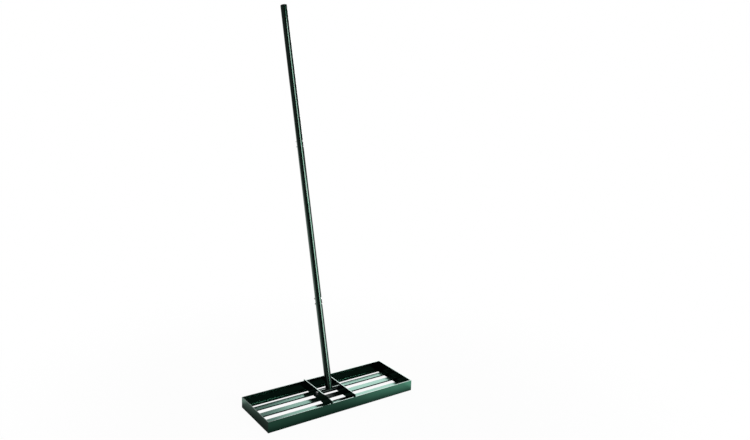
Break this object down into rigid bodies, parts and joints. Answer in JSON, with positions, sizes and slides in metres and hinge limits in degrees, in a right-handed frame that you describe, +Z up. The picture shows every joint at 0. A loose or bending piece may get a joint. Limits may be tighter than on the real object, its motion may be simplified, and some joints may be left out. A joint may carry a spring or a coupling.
{
  "type": "lawn leveling rake",
  "caption": "Open rectangular steel head with raised slats and ground lips, and a tall sectional tube handle pivoting on a bolt between centre plates, for spreading and leveling soil.",
  "frame": {"origin": "on the ground under the middle of the front wall's lip, halfway along the head", "axes": "+X along the head to the right, +Y from the front wall to the rear wall, +Z up"},
  "size_m": [0.762, 0.5884, 1.7866],
  "materials": {
    "green_paint": "satin dark green powder coat on steel",
    "zinc_steel": "zinc plated steel",
    "bright_steel": "bright plated steel",
    "black_nylon": "plain black nylon",
    "black_plastic": "moulded black plastic"
  },
  "bodies": {
    "head": {"front_wall": "green_paint", "rear_wall": "green_paint", "left_wall": "green_paint", "right_wall": "green_paint", "rear_slat": "green_paint", "middle_slat": "green_paint", "front_slat": "green_paint", "left_plate": "green_paint", "right_plate": "green_paint", "pivot_bolt": "zinc_steel", "pivot_washers": "zinc_steel", "pivot_nut": "zinc_steel"},
    "handle": {"pivot_bushings": "black_nylon", "cross_tube": "green_paint", "lower_tube": "green_paint", "middle_tube": "green_paint", "upper_tube": "green_paint", "end_plug": "black_plastic", "lower_joint_screws": "bright_steel", "lower_joint_nuts": "bright_steel", "upper_joint_screws": "bright_steel", "upper_joint_nuts": "bright_steel"}
  },
  "joints": [
    {"name": "handle_pivot", "type": "hinge", "parent": "head", "child": "handle", "pos_m": [0, 0.1195, 0.0435], "axis": [1, 0, 0], "range_deg": [-64.6, 93.4]}
  ]
}
